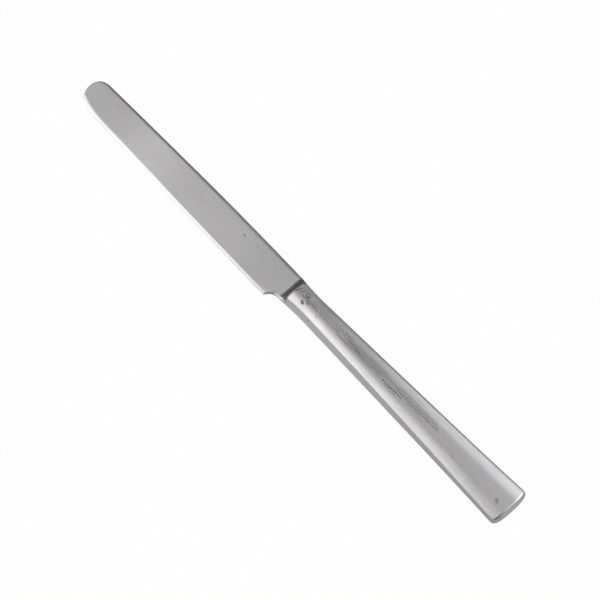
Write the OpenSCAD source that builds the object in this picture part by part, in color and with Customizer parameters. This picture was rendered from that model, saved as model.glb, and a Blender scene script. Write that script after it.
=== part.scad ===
// Table knife lying on its handle: a forged blade with bolster and tang, two stamped handle
// shells welded along their edges, and the cement that holds the tang in the hollow handle.
// X runs from the butt to the blade's tip, Y from the spine to the cutting edge, Z is up, and
// the handle's underside lies on the plane z = 0. All sizes are in millimetres.

/* [Handle] */
// Length of the handle from its mouth at the bolster to the butt
handle_len = 112.3; // [95:0.1:130]
// Width of the handle at its mouth, across the seam
mouth_w = 11.45; // [11.2:0.05:13.2]
// Width of the handle at its narrowest place
neck_w = 10.9; // [10:0.05:11.1]
// Distance of the narrowest place from the mouth
neck_at = 8.5; // [6:0.5:20]
// Width of the handle at the butt
butt_w = 17.1; // [14:0.1:21]
// Total thickness at the mouth
mouth_h = 7.6; // [7.2:0.1:9]
// Total thickness at the butt
butt_h = 5.6; // [4.8:0.1:6.6]
// Height between the upper and lower side edges at the mouth
mouth_side_h = 5.9; // [5:0.1:6.8]
// Height between the upper and lower side edges at the butt
butt_side_h = 3; // [2.6:0.1:4.4]
// Angle at which the walls lean in from the seam to those edges
wall_lean_angle = 28; // [20:1:32]
// Angle at which the end wall leans in at the butt
butt_lean_angle = 20; // [10:1:32]
// Width of the flat land along the crown at the mouth
mouth_land_w = 0.6; // [0.4:0.1:2]
// Width of the flat land along the crown at the butt
butt_land_w = 4; // [1:0.1:6]
// Length over which the butt's corners are rounded
butt_round_len = 2.8; // [1.6:0.1:4]
// Length over which the crown's corners are rounded there
crown_round_len = 1.4; // [1:0.1:3]
// Depth of the flat polished into the underside, on which the knife lies
rest_flat_depth = 0.06; // [0.04:0.01:0.12]

/* [Shells and filling] */
// Sheet thickness of the stamped shells
shell_wall = 0.8; // [0.6:0.05:1]
// Thickness of the closed end at the butt
butt_wall = 1.2; // [0.8:0.1:2]
// Thickness of the weld between the rims of the shells
weld_t = 0.3; // [0.2:0.05:0.6]
// Clearance of the filling and of the bolster's shoulder inside the shells
fit_gap = 0.05; // [0.03:0.01:0.08]

/* [Bolster and tang] */
// Width of the joint line between the bolster and the handle's mouth
joint_gap = 0.1; // [0.05:0.01:0.2]
// Length of the collar that continues the handle's shape
collar_len = 0.6; // [0.4:0.1:3]
// Length of the ramp from the collar down to the blade
ramp_len = 2.2; // [1.5:0.1:6]
// Length of the shoulder that plugs the handle's mouth
shoulder_len = 2.5; // [1.5:0.1:5]
// Length of the tang behind the shoulder
tang_len = 60; // [40:1:80]
// Width of the tang at the shoulder
tang_root_w = 4.6; // [3.8:0.1:5.2]
// Width of the tang at its end
tang_end_w = 3.2; // [2.6:0.1:3.7]
// Thickness of the tang
tang_t = 2.4; // [1.6:0.1:2.8]
// Diameter of the two holes that key the tang in the cement
key_hole_d = 1.6; // [1:0.1:2]

/* [Blade] */
// Length of the blade from the foot of the ramp to the tip
blade_len = 114.8; // [95:0.1:135]
// Distance of the spine from the handle's axis where the blade is widest
spine_off = 6.45; // [6:0.05:8]
// Distance of the spine from the handle's axis just before the tip
spine_tip_off = 6; // [5:0.1:7]
// Distance of the cutting edge from the handle's axis at the heel
heel_off = 9.05; // [8.4:0.05:12]
// Distance of the cutting edge's straight line from the axis at the tip
edge_tip_off = 7.1; // [6.4:0.1:10]
// Distance of the heel from the foot of the ramp
heel_at = 5.2; // [4:0.1:12]
// Thickness of the spine at the bolster
spine_root_t = 2.4; // [1.8:0.1:3]
// Thickness of the spine at the tip
spine_tip_t = 1.5; // [1.1:0.1:1.8]
// Thickness of the ground cutting edge
edge_t = 0.24; // [0.15:0.01:0.4]
// Length over which the spine curves in towards the handle
spine_rise_len = 50; // [15:1:70]

/* [Blade tip] */
// Length of the rounded front on the spine's side
nose_len = 6; // [3:0.1:10]
// Distance of the foremost point from the handle's axis, on the spine's side
nose_off = 1; // [0.4:0.1:2]
// Distance of the tip's corner from the axis, on the cutting edge's side
corner_off = 4.8; // [4:0.1:6.2]
// Length of the front curve from the foremost point back to that corner
corner_len = 1.9; // [0.8:0.1:3]
// Length over which the cutting edge curves up to that corner
belly_len = 21.6; // [10:0.1:40]

/* [Hidden] */

// Powers that shape the curves, as shares of a straight line's 1
flare_share = 6;
side_share = 3;
side_settle_share = 2.6;
butt_round_share = 2.8;
spine_taper_share = 1.5;
ramp_share = 1.5;
choil_curl_share = 4.6;
nose_share = 2.4;
front_share = 2.2;
belly_share = 4.3;
// Part of the handle's flare that is a straight line
flare_lead_share = 0.86;
// Part of the blade's thickness that the flat grind takes away across its full width
grind_share = 0.62;
// Thickness left at the rounded spine and at the blunt rims of the choil and the front
spine_rim_share = 0.62;
blunt_rim_share = 0.8;
// Places across the handle's section, from one side at -1 to the other at 1
crown_shares = [-1, -0.9, -0.78, -0.64, -0.5, -0.34, -0.17, 0, 0.17, 0.34, 0.5, 0.64, 0.78, 0.9, 1];
// Places across the blade, from the spine at 0 to the cutting edge at 1
spine_round_share = 0.09;
bevel_start_share = 0.955;
// Place of the collar's side edge, kept clear of the places beside it
side_edge_lowest_share = 0.11;
side_edge_highest_share = 0.19;
side_edge_share = min(side_edge_highest_share,
                      max(side_edge_lowest_share, lean_of(mouth_side_h / 2) / mouth_w));
width_shares = [0, 0.015, 0.045, spine_round_share, side_edge_share, 0.22, 0.32, 0.41, 0.5, 0.59,
                0.69, 0.78, 1 - side_edge_share, 0.92, bevel_start_share, 1];
// Widths along the butt's rounded end, from its apex to the full width
round_shares = [0.26, 0.5, 0.68, 0.8, 0.9, 0.96, 1];
// Places of the two key holes along the tang
key_hole_shares = [0.3, 0.65];
// Steps along the handle, and along the parts of the blade
handle_steps = 24;
ramp_steps = 6;
choil_steps = 12;
blade_steps = 14;
belly_steps = 9;
front_steps = 9;

// Places along X
joint_len = joint_gap + collar_len + ramp_len;
overall_len = handle_len + joint_len + blade_len;
butt_x = -overall_len / 2;
mouth_x = butt_x + handle_len;
foot_x = mouth_x + joint_len;
collar_at = -collar_len - ramp_len;
corner_at = blade_len - corner_len;
nose_at = blade_len - nose_len;
belly_at = corner_at - belly_len;
straight_len = handle_len - butt_round_len;
butt_lean = (butt_h - weld_t) / 2 * tan(butt_lean_angle);
blade_w = spine_off + heel_off;

function mix(a, b, t) = a + (b - a) * t;
function clamp(t) = min(1, max(0, t));
// Quarter of a superellipse: 1 at t = 0, falling to 0 at t = 1
function quarter(t, power) = pow(1 - pow(clamp(t), power), 1 / power);

// The seam plane halves the handle's thickness and falls evenly towards the butt
seam_slope = (mouth_h - butt_h) / 2 / handle_len;
seam_angle = atan(seam_slope);
function seam_z(x) = butt_h / 2 - rest_flat_depth + (x - butt_x) * seam_slope;

// How far a wall of the half height h leans in above the weld
function lean_of(h) = (h - weld_t / 2) * tan(wall_lean_angle);

// Half width of the handle across the seam, at the distance d from its mouth
function handle_half(d) = d < neck_at
    ? mix(neck_w, mouth_w, pow((neck_at - d) / neck_at, 2)) / 2
    : let (t = (d - neck_at) / (handle_len - neck_at))
      mix(neck_w, butt_w, flare_lead_share * t + (1 - flare_lead_share) * pow(t, flare_share)) / 2;
// Half height of the side edges there
function side_half(d) =
    let (left = 1 - pow(clamp(d / handle_len), side_share))
    mix(butt_side_h, mouth_side_h, pow(left, side_settle_share)) / 2;
// Half width there between the side edges
function crown_width(d) = handle_half(max(0, d)) - lean_of(side_half(d));
// Half thickness of the handle's crowned section there, y off the axis
function crown_half(d, y) =
    let (along = clamp(d / handle_len),
         top = mix(mouth_h, butt_h, d / handle_len) / 2,
         side = side_half(d),
         land = mix(mouth_land_w, butt_land_w, along) / 2,
         out = clamp((abs(y) - land) / (crown_width(d) - land)))
    top - (top - side) * pow(out, 2);
// Half thickness of the whole section there, its leaning walls included
function section_half(d, y) =
    min(crown_half(d, y),
        weld_t / 2 + max(0, handle_half(max(0, d)) - abs(y)) / tan(wall_lean_angle));
// The widest place of the handle, and the shift that centres the knife over the origin
handle_side = handle_half(straight_len);
axis_y = (handle_side - heel_off) / 2;

// Stations of a skin, each its distance from the mouth and its share of the full width
function stations(from, end_gap, round_len) = concat(
    [for (k = [0 : handle_steps - 1])
        [mix(from, handle_len - end_gap - round_len, k / handle_steps), 1]],
    [for (k = [len(round_shares) - 1 : -1 : 0])
        let (round_in = k == 0 ? 0 : 1 - quarter(round_shares[k], butt_round_share))
        [handle_len - end_gap - round_len * round_in, round_shares[k]]]);
// Point of a skin's crown that is set in by inset, c across, on the upper (dir = 1) or lower (-1) side
function skin_point(station, c, inset, dir) =
    let (y = (crown_width(station[0]) - inset) * station[1] * c,
         x = mouth_x - station[0])
    [x, y, seam_z(x) + dir * (crown_half(station[0], y) - inset)];
// Point of the same skin at the weld, on the side c
function rim_point(station, c, inset, dir) =
    let (x = mouth_x - station[0])
    [x, (handle_half(station[0]) - inset) * station[1] * c, seam_z(x) + dir * weld_t / 2];
// Arch of a skin from rim to rim, whose crown may stand further in than its rims
function half_row(rim, crown, inset, dir) = concat(
    [rim_point(rim, -1, inset, dir)],
    [for (c = crown_shares) skin_point(crown, c, inset, dir)],
    [rim_point(rim, 1, inset, dir)]);
// Rows of such arches, which close butt_gap before the butt at the rims and lean further in above
function arches(from, butt_gap, lean, crown_round, inset, dir) =
    let (rims = stations(from, butt_gap, butt_round_len),
         crowns = stations(from, butt_gap + lean, crown_round))
    [for (k = [0 : len(rims) - 1]) half_row(rims[k], crowns[k], inset, dir)];
function flat(lists) = [for (list = lists) for (item = list) item];
// Two triangles over four corners, turned over where flip says so
function quad(a, b, c, d, flip) = flip ? [[a, c, b], [a, d, c]] : [[a, b, c], [a, c, d]];
// Faces between rows of equal length, the first row at index base
function grid(base, rows, columns, flip) = flat(
    [for (i = [0 : rows - 2]) for (j = [0 : columns - 2])
        let (a = base + i * columns + j)
        quad(a, a + 1, a + columns + 1, a + columns, flip)]);
// Fan over the points of one row, from its first point
function fan(base, columns, flip) =
    [for (j = [1 : columns - 2]) flip ? [base, base + j + 1, base + j] : [base, base + j, base + j + 1]];
// Strip over one closed row, whose second half runs back under its first half
function strip(base, count, flip) = flat(
    [for (j = [0 : count / 2 - 2])
        quad(base + j, base + j + 1, base + count - 2 - j, base + count - 1 - j, flip)]);

// Solid over closed rows that follow each other, with a flat cap at each end
module skin(rows, flip = false) {
    count = len(rows[0]);
    side_faces = flat([for (i = [0 : len(rows) - 2]) for (j = [0 : count - 1])
        let (a = i * count + j, b = i * count + (j + 1) % count)
        quad(a, b, b + count, a + count, flip)]);
    polyhedron(
        points = flat(rows),
        faces = concat(side_faces,
                       strip(0, count, !flip),
                       strip((len(rows) - 1) * count, count, flip)));
}

// One stamped shell: an outer and an inner skin, joined at the rims and the mouth
module half_shell(dir) {
    outer = arches(0, 0, butt_lean, crown_round_len, 0, dir);
    inner = arches(0, butt_lean + butt_wall, 0, butt_round_len, shell_wall, dir);
    rows = len(outer);
    columns = len(outer[0]);
    total = rows * columns;
    last = (rows - 1) * columns;
    flip = dir > 0;
    rims = flat([for (i = [0 : rows - 2]) for (j = [0, columns - 1])
        let (a = i * columns + j)
        quad(a, a + columns, a + columns + total, a + total, (j == 0) == flip)]);
    mouth = flat([for (j = [0 : columns - 2]) quad(j, j + 1, j + 1 + total, j + total, !flip)]);
    polyhedron(
        points = concat(flat(outer), flat(inner)),
        faces = concat(
            grid(0, rows, columns, flip),
            grid(total, rows, columns, !flip),
            rims,
            mouth,
            fan(last, columns, flip),
            fan(last + total, columns, !flip),
            quad(last, last + columns - 1, last + columns - 1 + total, last + total, flip)));
}

// Offsets of the blade's two long edges from the axis, a from the foot of the ramp
function spine_line(a) =
    mix(spine_off, spine_tip_off,
        pow(clamp((a - spine_rise_len) / (nose_at - spine_rise_len)), spine_taper_share))
    - (spine_off - mouth_w / 2)
        * pow(clamp((spine_rise_len - a) / (spine_rise_len - collar_at)), 2);
function spine_at(a) = mix(nose_off, spine_line(a), quarter((a - nose_at) / nose_len, nose_share));
function choil(a) =
    let (along = clamp((a - collar_at) / (heel_at - collar_at)))
    mix(mouth_w / 2, heel_off, pow(along, choil_curl_share));
function belly(a) =
    mix(heel_off, edge_tip_off, (a - heel_at) / (corner_at - heel_at))
    - (edge_tip_off - corner_off) * pow(clamp((a - belly_at) / belly_len), belly_share);
function front(a) = corner_off * pow(clamp((blade_len - a) / corner_len), 1 / front_share);
function edge_at(a) = a < heel_at ? choil(a) : a <= corner_at ? belly(a) : front(a);

// Half thickness of the flat-ground blade, s across it and y off the axis
function blade_half(a, s, y) =
    let (ground = 1 - grind_share * (y + spine_at(a)) / blade_w,
         full = mix(spine_root_t, spine_tip_t, clamp(a / blade_len)) / 2 * ground,
         near_spine = clamp(1 - s / spine_round_share),
         rounding = mix(spine_rim_share, 1, sqrt(1 - pow(near_spine, 2))),
         sharp = a >= heel_at && a <= corner_at,
         rim = sharp ? edge_t / 2 : full * blunt_rim_share,
         near_edge = clamp((s - bevel_start_share) / (1 - bevel_start_share)))
    mix(full * rounding, rim, near_edge);
// How far the ramp has risen from the blade to the collar
function ramp(a) = pow(clamp(-a / ramp_len), ramp_share);
// Point of the forging's surface; nothing of it reaches below the rest plane
function forging_point(a, s, dir) =
    let (y = mix(-spine_at(a), edge_at(a), s),
         x = foot_x + a,
         half = mix(blade_half(a, s, y), section_half(mouth_x - x, y), ramp(a)))
    [x, y, max(0, seam_z(x) + dir * half)];
function forging_row(a) = concat(
    [for (s = width_shares) forging_point(a, s, 1)],
    [for (k = [len(width_shares) - 1 : -1 : 0]) forging_point(a, width_shares[k], -1)]);

// Lies in the seam plane, with X towards the tip from the handle's mouth
module on_seam() {
    translate([mouth_x, 0, seam_z(mouth_x)]) rotate([0, -seam_angle, 0]) children();
}

// Flat tapered bar with a round end and two holes, grown all round by grow
module tang(grow) {
    end_at = tang_len - tang_end_w / 2;
    on_seam() translate([-shoulder_len, 0, 0])
        linear_extrude(height = tang_t + 2 * grow, center = true)
            difference() {
                union() {
                    polygon([[joint_gap, -tang_root_w / 2 - grow], [joint_gap, tang_root_w / 2 + grow],
                             [-end_at, tang_end_w / 2 + grow], [-end_at, -tang_end_w / 2 - grow]]);
                    translate([-end_at, 0]) circle(d = tang_end_w + 2 * grow, $fn = 48);
                }
                for (share = key_hole_shares)
                    translate([-tang_len * share, 0]) circle(d = key_hole_d - 2 * grow, $fn = 48);
            }
}

// Block behind the collar that plugs the handle's mouth
module shoulder() {
    width = 2 * (crown_width(shoulder_len) - shell_wall - fit_gap);
    height = 2 * (side_half(shoulder_len) - shell_wall - fit_gap);
    depth = shoulder_len + joint_gap + collar_len / 2;
    on_seam() translate([-shoulder_len, -width / 2, -height / 2]) cube([depth, width, height]);
}

module blade() {
    stops = concat(
        [collar_at, -ramp_len],
        [for (k = [ramp_steps - 1 : -1 : 0]) -ramp_len * k / ramp_steps],
        [for (k = [1 : choil_steps]) heel_at * k / choil_steps],
        [for (k = [1 : blade_steps]) mix(heel_at, belly_at, k / blade_steps)],
        [for (k = [1 : belly_steps]) corner_at - belly_len * pow(1 - k / belly_steps, 2)],
        [for (k = [front_steps - 1 : -1 : 0]) blade_len - corner_len * pow(k / front_steps, 2)]);
    color("lightsteelblue") translate([0, axis_y, 0]) union() {
        skin([for (a = stops) forging_row(a)]);
        shoulder();
        tang(0);
    }
}

module handle_shell_upper() {
    color("silver") translate([0, axis_y, 0]) half_shell(1);
}

module handle_shell_lower() {
    // Everything below the rest plane is polished off
    color("darkgray") intersection() {
        translate([0, axis_y, 0]) half_shell(-1);
        translate([butt_x - butt_wall, -butt_w, 0])
            cube([handle_len + 2 * butt_wall, 2 * butt_w, mouth_h]);
    }
}

// Bead that runs back along one side, round the butt and forward along the other
module seam_weld() {
    outer = stations(0, 0, butt_round_len);
    inner = stations(0, butt_lean + butt_wall, butt_round_len);
    count = len(outer);
    route = concat([for (k = [0 : count - 1]) [k, -1]], [for (k = [count - 1 : -1 : 0]) [k, 1]]);
    color("gainsboro") translate([0, axis_y, 0])
        skin([for (place = route)
            let (k = place[0], c = place[1])
            [rim_point(outer[k], c, 0, 1), rim_point(inner[k], c, shell_wall, 1),
             rim_point(inner[k], c, shell_wall, -1), rim_point(outer[k], c, 0, -1)]], flip = true);
}

module handle_cement() {
    inset = shell_wall + fit_gap;
    from = shoulder_len + fit_gap;
    butt_gap = butt_lean + butt_wall + fit_gap;
    upper = arches(from, butt_gap, 0, butt_round_len, inset, 1);
    lower = arches(from, butt_gap, 0, butt_round_len, inset, -1);
    rows = [for (i = [0 : len(upper) - 1])
        concat(upper[i], [for (j = [len(lower[i]) - 1 : -1 : 0]) lower[i][j]])];
    color("tan") translate([0, axis_y, 0]) difference() {
        skin(rows, flip = true);
        tang(fit_gap);
    }
}

blade();
handle_shell_upper();
handle_shell_lower();
seam_weld();
handle_cement();
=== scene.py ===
"""Table knife: the looks of the ground blade, its bolster and the welded, worn steel handle.

Every length is in metres. The frame gives the places; the sizes below are the knife's own.
X runs from the butt to the blade's tip, Y from the spine to the cutting edge, Z is up.
"""

import functools
import logging
import math
from dataclasses import dataclass, field
from enum import Enum
from types import MappingProxyType
from typing import Any, Callable, Mapping, Sequence, Union

import bmesh
import bpy
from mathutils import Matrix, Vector


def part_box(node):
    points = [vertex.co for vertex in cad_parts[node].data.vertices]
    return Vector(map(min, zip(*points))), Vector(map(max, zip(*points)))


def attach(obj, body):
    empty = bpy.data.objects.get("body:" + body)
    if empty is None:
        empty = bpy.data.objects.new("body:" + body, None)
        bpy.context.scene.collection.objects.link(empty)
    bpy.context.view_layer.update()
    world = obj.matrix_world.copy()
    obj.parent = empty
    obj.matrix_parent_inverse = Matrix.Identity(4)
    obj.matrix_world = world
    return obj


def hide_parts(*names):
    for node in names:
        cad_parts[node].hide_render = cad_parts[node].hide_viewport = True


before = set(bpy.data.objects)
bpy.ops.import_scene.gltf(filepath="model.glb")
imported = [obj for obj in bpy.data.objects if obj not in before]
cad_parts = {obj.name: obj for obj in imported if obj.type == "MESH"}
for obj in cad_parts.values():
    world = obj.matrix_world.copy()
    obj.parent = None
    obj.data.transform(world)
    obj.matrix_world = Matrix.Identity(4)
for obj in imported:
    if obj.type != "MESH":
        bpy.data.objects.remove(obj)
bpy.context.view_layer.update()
LOG = logging.getLogger("table_knife")
Piece = bpy.types.Object
Number = Union["Signal", float]
NOTHING: Mapping[Any, Any] = MappingProxyType({})
MM = 0.001
MERGE_DISTANCE = 0.004 * MM
MIRROR_DISTANCE = 0.002 * MM
LARGE_FACE_WEIGHT = 60
JOINT_GAP = 0.1 * MM
ROUND_SHARES = (0.26, 0.38, 0.5, 0.6, 0.68, 0.75, 0.81, 0.86, 0.9, 0.935, 0.96, 0.98, 1)
HANDLE_RINGS = 44
RING_CROWDING = 0.9
PLACE_DIGITS = 6


def mix(a: float, b: float, t: float) -> float:
    """Returns the value that lies t of the way from a to b."""
    return a + (b - a) * t


def clamp(t: float) -> float:
    """Returns t held between 0 and 1."""
    return min(1.0, max(0.0, t))


def quarter(t: float, power: float) -> float:
    """Returns a superellipse quarter: 1 at t = 0, falling to 0 at t = 1."""
    return (1 - clamp(t) ** power) ** (1 / power)


class Side(Enum):
    """The two halves of the handle, by the direction in which they bulge."""

    UPPER = 1
    LOWER = -1


@dataclass(frozen=True)
class HandleShape:
    """Outline and section of the handle, d being the distance from its mouth."""

    mouth_x: float
    butt_x: float
    axis_y: float
    mouth_w: float = 11.45 * MM
    neck_w: float = 10.9 * MM
    neck_at: float = 8.5 * MM
    butt_w: float = 17.1 * MM
    mouth_h: float = 7.6 * MM
    butt_h: float = 5.6 * MM
    mouth_side_h: float = 5.9 * MM
    butt_side_h: float = 3 * MM
    wall_lean: float = math.radians(28)
    butt_lean_angle: float = math.radians(20)
    mouth_land_w: float = 0.6 * MM
    butt_land_w: float = 4 * MM
    butt_round_len: float = 2.8 * MM
    crown_round_len: float = 1.4 * MM
    rest_flat_depth: float = 0.06 * MM
    shell_wall: float = 0.8 * MM
    weld_t: float = 0.3 * MM
    flare_lead: float = 0.86
    flare_power: float = 6
    side_power: float = 3
    side_settle_power: float = 2.6
    butt_round_power: float = 2.8
    apex_share: float = 0.26

    @property
    def length(self) -> float:
        """Length from the mouth to the butt."""
        return self.mouth_x - self.butt_x

    @property
    def slope(self) -> float:
        """Rise of the seam plane over the handle's length."""
        return (self.mouth_h - self.butt_h) / 2 / self.length

    def seam_z(self, x: float) -> float:
        """Returns the height of the seam plane at x."""
        return self.butt_h / 2 - self.rest_flat_depth + (x - self.butt_x) * self.slope

    @property
    def butt_lean(self) -> float:
        """How far the end wall leans in at the butt."""
        return (self.butt_h - self.weld_t) / 2 * math.tan(self.butt_lean_angle)

    def lean_of(self, height: float) -> float:
        """Returns how far a wall of that half height leans in above the weld."""
        return (height - self.weld_t / 2) * math.tan(self.wall_lean)

    def ring_places(self, start: float) -> list:
        """Returns the places along X of the handle's rings, from start to the mouth."""
        return [mix(start, self.mouth_x, (k / HANDLE_RINGS) ** RING_CROWDING)
                for k in range(1, HANDLE_RINGS + 1)]

    def half_width(self, d: float) -> float:
        """Returns half the handle's width across the seam at d."""
        if d < self.neck_at:
            left = (self.neck_at - max(0.0, d)) / self.neck_at
            return mix(self.neck_w, self.mouth_w, left ** 2) / 2
        t = (d - self.neck_at) / (self.length - self.neck_at)
        flare = self.flare_lead * t + (1 - self.flare_lead) * t ** self.flare_power
        return mix(self.neck_w, self.butt_w, flare) / 2

    def side_half(self, d: float) -> float:
        """Returns the height of the side edge over the seam plane at d."""
        left = 1 - clamp(d / self.length) ** self.side_power
        return mix(self.butt_side_h, self.mouth_side_h, left ** self.side_settle_power) / 2

    def crown_width(self, d: float) -> float:
        """Returns half the width between the side edges at d."""
        return self.half_width(d) - self.lean_of(self.side_half(d))

    def crown(self, d: float, y: float) -> float:
        """Returns half the handle's thickness at d and y off its axis, its walls left out."""
        top = mix(self.mouth_h, self.butt_h, d / self.length) / 2
        land = mix(self.mouth_land_w, self.butt_land_w, clamp(d / self.length)) / 2
        out = clamp((abs(y) - land) / (self.crown_width(d) - land))
        return top - (top - self.side_half(d)) * out ** 2

    def section(self, d: float, y: float) -> float:
        """Returns half the handle's thickness at d and y off its axis, its leaning walls included."""
        wall = self.weld_t / 2 + max(0.0, self.half_width(d) - abs(y)) / math.tan(self.wall_lean)
        return min(self.crown(d, y), wall)


@dataclass(frozen=True)
class BladeShape:
    """Outline and section of the forging, a being the distance from the foot of the ramp."""

    handle: HandleShape
    foot_x: float
    tip_x: float
    collar_len: float = 0.6 * MM
    ramp_len: float = 2.2 * MM
    spine_off: float = 6.45 * MM
    spine_tip_off: float = 6 * MM
    heel_off: float = 9.05 * MM
    edge_tip_off: float = 7.1 * MM
    heel_at: float = 5.2 * MM
    spine_root_t: float = 2.4 * MM
    spine_tip_t: float = 1.5 * MM
    edge_t: float = 0.24 * MM
    spine_rise_len: float = 50 * MM
    nose_len: float = 6 * MM
    nose_off: float = 1 * MM
    corner_off: float = 4.8 * MM
    corner_len: float = 1.9 * MM
    belly_len: float = 21.6 * MM
    spine_round_share: float = 0.09
    bevel_heel_share: float = 0.94
    bevel_tip_share: float = 0.89
    bevel_power: float = 1.7
    bevel_change_share: float = 0.45
    bevel_change_len_share: float = 0.5
    heel_facet: float = 1.2 * MM
    heel_facet_share: float = 0.35
    heel_facet_from_share: float = 0.6
    choil_halvings: int = 24
    grind_share: float = 0.62
    spine_rim_share: float = 0.62
    blunt_rim_share: float = 0.8
    choil_curl_power: float = 4.6
    ramp_power: float = 1.5
    nose_power: float = 2.4
    front_power: float = 2.2
    belly_power: float = 4.3
    spine_taper_power: float = 1.5

    @property
    def length(self) -> float:
        """Length from the foot of the ramp to the tip."""
        return self.tip_x - self.foot_x

    @property
    def collar_at(self) -> float:
        """Place of the collar's end, behind the foot of the ramp."""
        return -self.collar_len - self.ramp_len

    @property
    def corner_at(self) -> float:
        """Place of the tip's corner on the cutting edge."""
        return self.length - self.corner_len

    @property
    def nose_at(self) -> float:
        """Place where the spine starts to round into the tip."""
        return self.length - self.nose_len

    @property
    def belly_at(self) -> float:
        """Place where the cutting edge starts to curve up."""
        return self.corner_at - self.belly_len

    def spine(self, a: float) -> float:
        """Returns the spine's distance from the handle's axis at a."""
        taper = clamp((a - self.spine_rise_len) / (self.nose_at - self.spine_rise_len))
        rise = clamp((self.spine_rise_len - a) / (self.spine_rise_len - self.collar_at))
        line = mix(self.spine_off, self.spine_tip_off, taper ** self.spine_taper_power)
        line -= (self.spine_off - self.handle.mouth_w / 2) * rise ** 2
        return mix(self.nose_off, line, quarter((a - self.nose_at) / self.nose_len, self.nose_power))

    def edge(self, a: float) -> float:
        """Returns the cutting edge's distance from the handle's axis at a."""
        if a < self.heel_at:
            along = clamp((a - self.collar_at) / (self.heel_at - self.collar_at))
            return mix(self.handle.mouth_w / 2, self.heel_off, along ** self.choil_curl_power)
        if a <= self.corner_at:
            along = (a - self.heel_at) / (self.corner_at - self.heel_at)
            drop = clamp((a - self.belly_at) / self.belly_len) ** self.belly_power
            line = mix(self.heel_off, self.edge_tip_off, along)
            return line - (self.edge_tip_off - self.corner_off) * drop
        return self.corner_off * clamp((self.length - a) / self.corner_len) ** (1 / self.front_power)

    def choil_place(self, y: float) -> float:
        """Returns where along the blade the choil's outline reaches y off the axis."""
        low, high = self.collar_at, self.heel_at
        for _ in range(self.choil_halvings):
            middle = (low + high) / 2
            low, high = (middle, high) if self.edge(middle) < y else (low, middle)
        return high

    def half_thickness(self, a: float, share: float, y: float) -> float:
        """Returns half the forging's thickness.

        Args:
            a: Distance from the foot of the ramp.
            share: Place across the blade, from the spine at 0 to the cutting edge at 1.
            y: The same place as a distance from the handle's axis.

        Returns:
            The distance from the mid plane to the surface.
        """
        ground = 1 - self.grind_share * (y + self.spine(a)) / (self.spine_off + self.heel_off)
        full = mix(self.spine_root_t, self.spine_tip_t, clamp(a / self.length)) / 2 * ground
        near_spine = clamp(1 - share / self.spine_round_share)
        rounding = mix(self.spine_rim_share, 1, math.sqrt(1 - near_spine ** 2))
        sharp = self.heel_at <= a <= self.corner_at
        rim = self.edge_t / 2 if sharp else full * self.blunt_rim_share
        change = clamp((a / self.length - self.bevel_change_share) / self.bevel_change_len_share)
        start = mix(self.bevel_heel_share, self.bevel_tip_share, change)
        near_edge = clamp((share - start) / (1 - start))
        flat = mix(full * rounding, rim, near_edge ** self.bevel_power)
        if 0 < a < self.heel_at + self.heel_facet and y > self.heel_facet_from_share * self.heel_off:
            flat *= 1 - self.heel_facet_share * clamp(1 - (a - self.choil_place(y)) / self.heel_facet)
        ramp = clamp(-a / self.ramp_len) ** self.ramp_power
        return mix(flat, self.handle.section(-a - self.ramp_len - self.collar_len, y), ramp)


def clear_selection() -> None:
    """Leaves nothing selected, the CAD nodes included."""
    bpy.ops.object.select_all(action="DESELECT")


def pick_object(piece: Piece) -> None:
    """Makes the piece the only selected and the active object."""
    clear_selection()
    piece.select_set(True)
    bpy.context.view_layer.objects.active = piece


def finish_with(piece: Piece, kind: str, **settings: Any) -> None:
    """Adds a modifier of that kind, with its own settings, to the piece and applies it."""
    pick_object(piece)
    modifier = piece.modifiers.new(kind.title(), kind)
    for name, value in settings.items():
        setattr(modifier, name, value)
    bpy.ops.object.modifier_apply(modifier=modifier.name)


def combine(piece: Piece, tool: Piece, operation: str) -> None:
    """Joins a tool body to the piece, or cuts it out of it, and removes the tool."""
    finish_with(piece, "BOOLEAN", object=tool, operation=operation, solver="EXACT")
    bpy.data.objects.remove(tool)


def open_mesh(piece: Piece) -> bmesh.types.BMesh:
    """Enters edit mode with nothing selected and returns the piece's mesh."""
    pick_object(piece)
    bpy.ops.object.mode_set(mode="EDIT")
    bpy.ops.mesh.select_all(action="DESELECT")
    return bmesh.from_edit_mesh(piece.data)


def press_flat() -> None:
    """Moves the selected points straight up or down onto the floor."""
    bpy.ops.transform.resize(value=(1, 1, 0), center_override=(0, 0, 0))


def add_block(middle: float, size: Sequence[float]) -> Piece:
    """Returns a block of that size whose middle lies on the X axis."""
    clear_selection()
    bpy.ops.mesh.primitive_cube_add(size=1, location=(middle, 0, 0), scale=tuple(size))
    bpy.ops.object.transform_apply(location=True, rotation=True, scale=True)
    return bpy.context.object


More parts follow.
